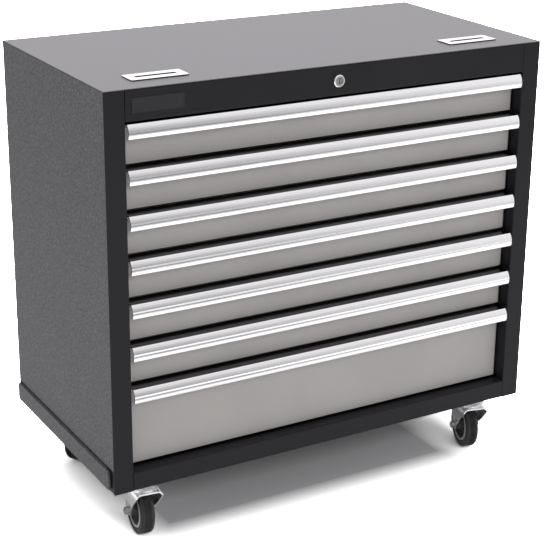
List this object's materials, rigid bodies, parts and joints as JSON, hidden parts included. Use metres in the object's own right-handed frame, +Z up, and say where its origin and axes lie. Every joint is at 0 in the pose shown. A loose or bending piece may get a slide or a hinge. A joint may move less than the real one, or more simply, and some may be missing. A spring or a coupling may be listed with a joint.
{
  "type": "workshop drawer cabinet",
  "caption": "Rolling workshop drawer cabinet with full-width bar handles, a central key lock, slotted plates in its flat top and swivel casters.",
  "frame": {"origin": "on the floor under the casters, at the middle of the cabinet's whole width and depth", "axes": "+X to the cabinet's right as seen from its front, -Y towards the viewer through the drawers, +Z up"},
  "size_m": [0.923, 0.4702, 0.8783],
  "materials": {
    "textured_grey": "fine textured powder coat, dark grey",
    "black_paint": "smooth satin black paint",
    "grey_paint": "smooth satin grey paint",
    "bright_aluminium": "drawn aluminium, brushed along its length",
    "zinc": "bright zinc plating",
    "chrome": "polished chrome",
    "tyre_rubber": "black rubber",
    "hub_plastic": "black moulded plastic",
    "steel": "plain bright steel"
  },
  "bodies": {
    "cabinet": {"left_side_panel": "textured_grey", "right_side_panel": "textured_grey", "top_panel": "textured_grey", "back_panel": "textured_grey", "base_tray": "black_paint", "left_front_post": "black_paint", "right_front_post": "black_paint", "top_rail": "black_paint", "bottom_rail": "black_paint", "left_base_strip": "textured_grey", "right_base_strip": "textured_grey", "left_slot_plate": "chrome", "right_slot_plate": "chrome", "left_runner_panel": "zinc", "right_runner_panel": "zinc", "lock_housing": "chrome", "caster_front_left_plate": "zinc", "caster_front_right_plate": "zinc", "caster_rear_left_plate": "zinc", "caster_rear_right_plate": "zinc"},
    "drawer_1": {"drawer_1_tray": "grey_paint", "drawer_1_front": "grey_paint", "drawer_1_handle": "bright_aluminium"},
    "drawer_2": {"drawer_2_tray": "grey_paint", "drawer_2_front": "grey_paint", "drawer_2_handle": "bright_aluminium"},
    "drawer_3": {"drawer_3_tray": "grey_paint", "drawer_3_front": "grey_paint", "drawer_3_handle": "bright_aluminium"},
    "drawer_4": {"drawer_4_tray": "grey_paint", "drawer_4_front": "grey_paint", "drawer_4_handle": "bright_aluminium"},
    "drawer_5": {"drawer_5_tray": "grey_paint", "drawer_5_front": "grey_paint", "drawer_5_handle": "bright_aluminium"},
    "drawer_6": {"drawer_6_tray": "grey_paint", "drawer_6_front": "grey_paint", "drawer_6_handle": "bright_aluminium"},
    "drawer_7": {"drawer_7_tray": "grey_paint", "drawer_7_front": "grey_paint", "drawer_7_handle": "bright_aluminium"},
    "lock_core": {"lock_plug": "chrome", "lock_shaft": "steel"},
    "lock_bar": {"lock_bar": "zinc"},
    "swivel_front_left": {"caster_front_left_fork": "zinc", "caster_front_left_axle": "steel"},
    "wheel_front_left": {"caster_front_left_hub": "hub_plastic", "caster_front_left_tyre": "tyre_rubber"},
    "swivel_front_right": {"caster_front_right_fork": "zinc", "caster_front_right_axle": "steel"},
    "wheel_front_right": {"caster_front_right_hub": "hub_plastic", "caster_front_right_tyre": "tyre_rubber"},
    "swivel_rear_left": {"caster_rear_left_fork": "zinc", "caster_rear_left_axle": "steel"},
    "wheel_rear_left": {"caster_rear_left_hub": "hub_plastic", "caster_rear_left_tyre": "tyre_rubber"},
    "swivel_rear_right": {"caster_rear_right_fork": "zinc", "caster_rear_right_axle": "steel"},
    "wheel_rear_right": {"caster_rear_right_hub": "hub_plastic", "caster_rear_right_tyre": "tyre_rubber"}
  },
  "joints": [
    {"name": "drawer_1_slide", "type": "slide", "parent": "cabinet", "child": "drawer_1", "axis": [0, -1, 0], "range_m": [0, 0.3]},
    {"name": "drawer_2_slide", "type": "slide", "parent": "cabinet", "child": "drawer_2", "axis": [0, -1, 0], "range_m": [0, 0.3]},
    {"name": "drawer_3_slide", "type": "slide", "parent": "cabinet", "child": "drawer_3", "axis": [0, -1, 0], "range_m": [0, 0.3]},
    {"name": "drawer_4_slide", "type": "slide", "parent": "cabinet", "child": "drawer_4", "axis": [0, -1, 0], "range_m": [0, 0.3]},
    {"name": "drawer_5_slide", "type": "slide", "parent": "cabinet", "child": "drawer_5", "axis": [0, -1, 0], "range_m": [0, 0.3]},
    {"name": "drawer_6_slide", "type": "slide", "parent": "cabinet", "child": "drawer_6", "axis": [0, -1, 0], "range_m": [0, 0.3]},
    {"name": "drawer_7_slide", "type": "slide", "parent": "cabinet", "child": "drawer_7", "axis": [0, -1, 0], "range_m": [0, 0.3]},
    {"name": "lock_turn", "type": "hinge", "parent": "cabinet", "child": "lock_core", "pos_m": [0, -0.22985, 0.846], "axis": [0, 1, 0], "range_deg": [0, 90]},
    {"name": "lock_bar_lift", "type": "slide", "parent": "cabinet", "child": "lock_bar", "axis": [0, 0, 1], "range_m": [0, 0.00919]},
    {"name": "swivel_front_left", "type": "hinge", "parent": "cabinet", "child": "swivel_front_left", "pos_m": [-0.376, -0.18285, 0.11], "axis": [0, 0, 1], "continuous": true},
    {"name": "roll_front_left", "type": "hinge", "parent": "swivel_front_left", "child": "wheel_front_left", "pos_m": [-0.37307, -0.155, 0.04858], "axis": [-0.9945, 0.1045, 0], "continuous": true},
    {"name": "swivel_front_right", "type": "hinge", "parent": "cabinet", "child": "swivel_front_right", "pos_m": [0.376, -0.18285, 0.11], "axis": [0, 0, 1], "continuous": true},
    {"name": "roll_front_right", "type": "hinge", "parent": "swivel_front_right", "child": "wheel_front_right", "pos_m": [0.38325, -0.1558, 0.04858], "axis": [-0.9659, 0.2588, 0], "continuous": true},
    {"name": "swivel_rear_left", "type": "hinge", "parent": "cabinet", "child": "swivel_rear_left", "pos_m": [-0.376, 0.16515, 0.11], "axis": [0, 0, 1], "continuous": true},
    {"name": "roll_rear_left", "type": "hinge", "parent": "swivel_rear_left", "child": "wheel_rear_left", "pos_m": [-0.35455, 0.18315, 0.04858], "axis": [-0.6428, 0.766, 0], "continuous": true},
    {"name": "swivel_rear_right", "type": "hinge", "parent": "cabinet", "child": "swivel_rear_right", "pos_m": [0.376, 0.16515, 0.11], "axis": [0, 0, 1], "continuous": true},
    {"name": "roll_rear_right", "type": "hinge", "parent": "swivel_rear_right", "child": "wheel_rear_right", "pos_m": [0.39894, 0.18121, 0.04858], "axis": [-0.5736, 0.8192, 0], "continuous": true}
  ],
  "couplings": [
    {"joint": "lock_turn", "follows": "lock_bar_lift", "rad_per_m": 170.88}
  ]
}
